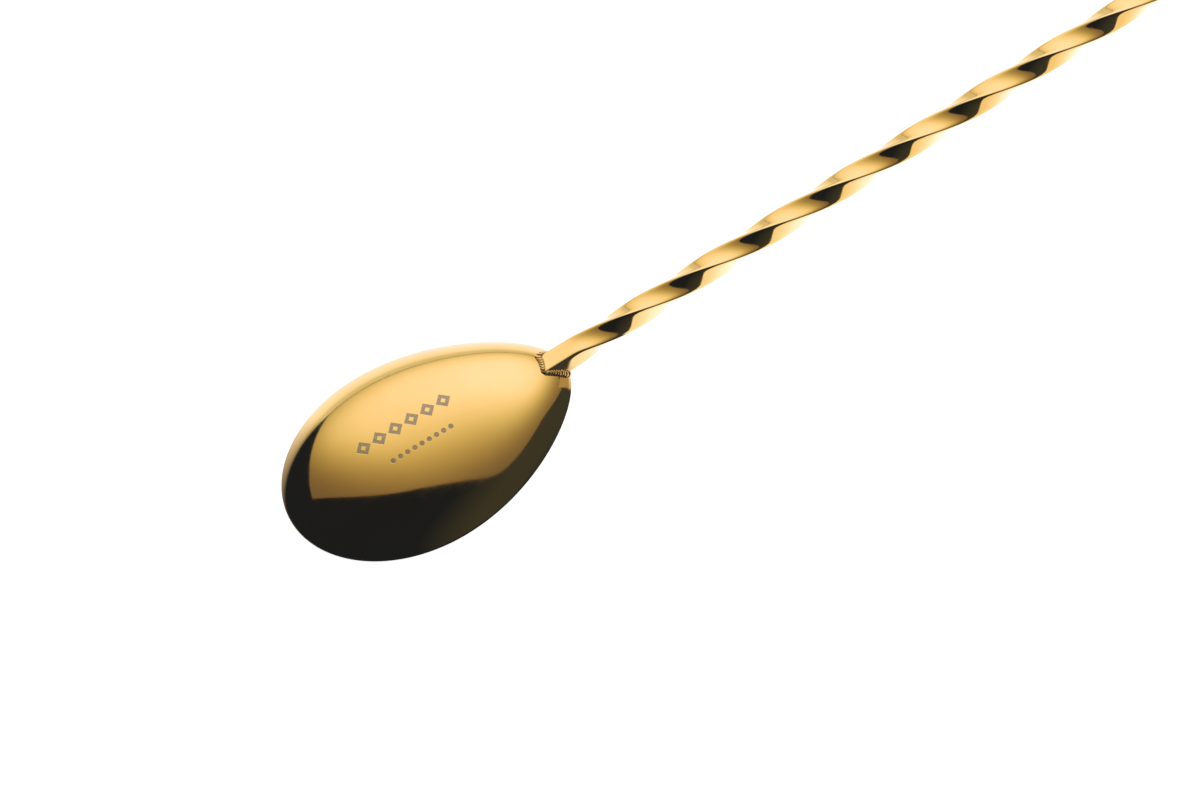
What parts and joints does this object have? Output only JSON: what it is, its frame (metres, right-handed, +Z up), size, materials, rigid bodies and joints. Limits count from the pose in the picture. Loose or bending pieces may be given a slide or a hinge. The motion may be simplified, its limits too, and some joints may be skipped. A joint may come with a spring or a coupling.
{
  "type": "bar spoon",
  "caption": "Long-handled bar spoon: a deep teardrop bowl welded to a slim twisted square stem that ends in a flat muddling disc, all plated in polished gold.",
  "frame": {"origin": "centre of the footprint, on the plane that the bowl's rim and the disc's edge rest on", "axes": "+X from the bowl's tip to the muddling disc, +Z up with the bowl's convex back uppermost, and y = 0 halves the bowl"},
  "size_m": [0.3, 0.0284, 0.0234],
  "materials": {
    "bowl_plating": "mirror-polished gold plating on pressed stainless steel",
    "stem_plating": "polished gold plating on twisted square stainless bar",
    "disc_plating": "polished gold plating over fine turning lines",
    "weld_plating": "gold plating over a rippled weld bead"
  },
  "bodies": {
    "root": {"spoon_bowl": "bowl_plating", "bowl_weld": "weld_plating", "twisted_stem": "stem_plating", "muddling_disc": "disc_plating", "disc_weld": "weld_plating"}
  },
  "joints": []
}
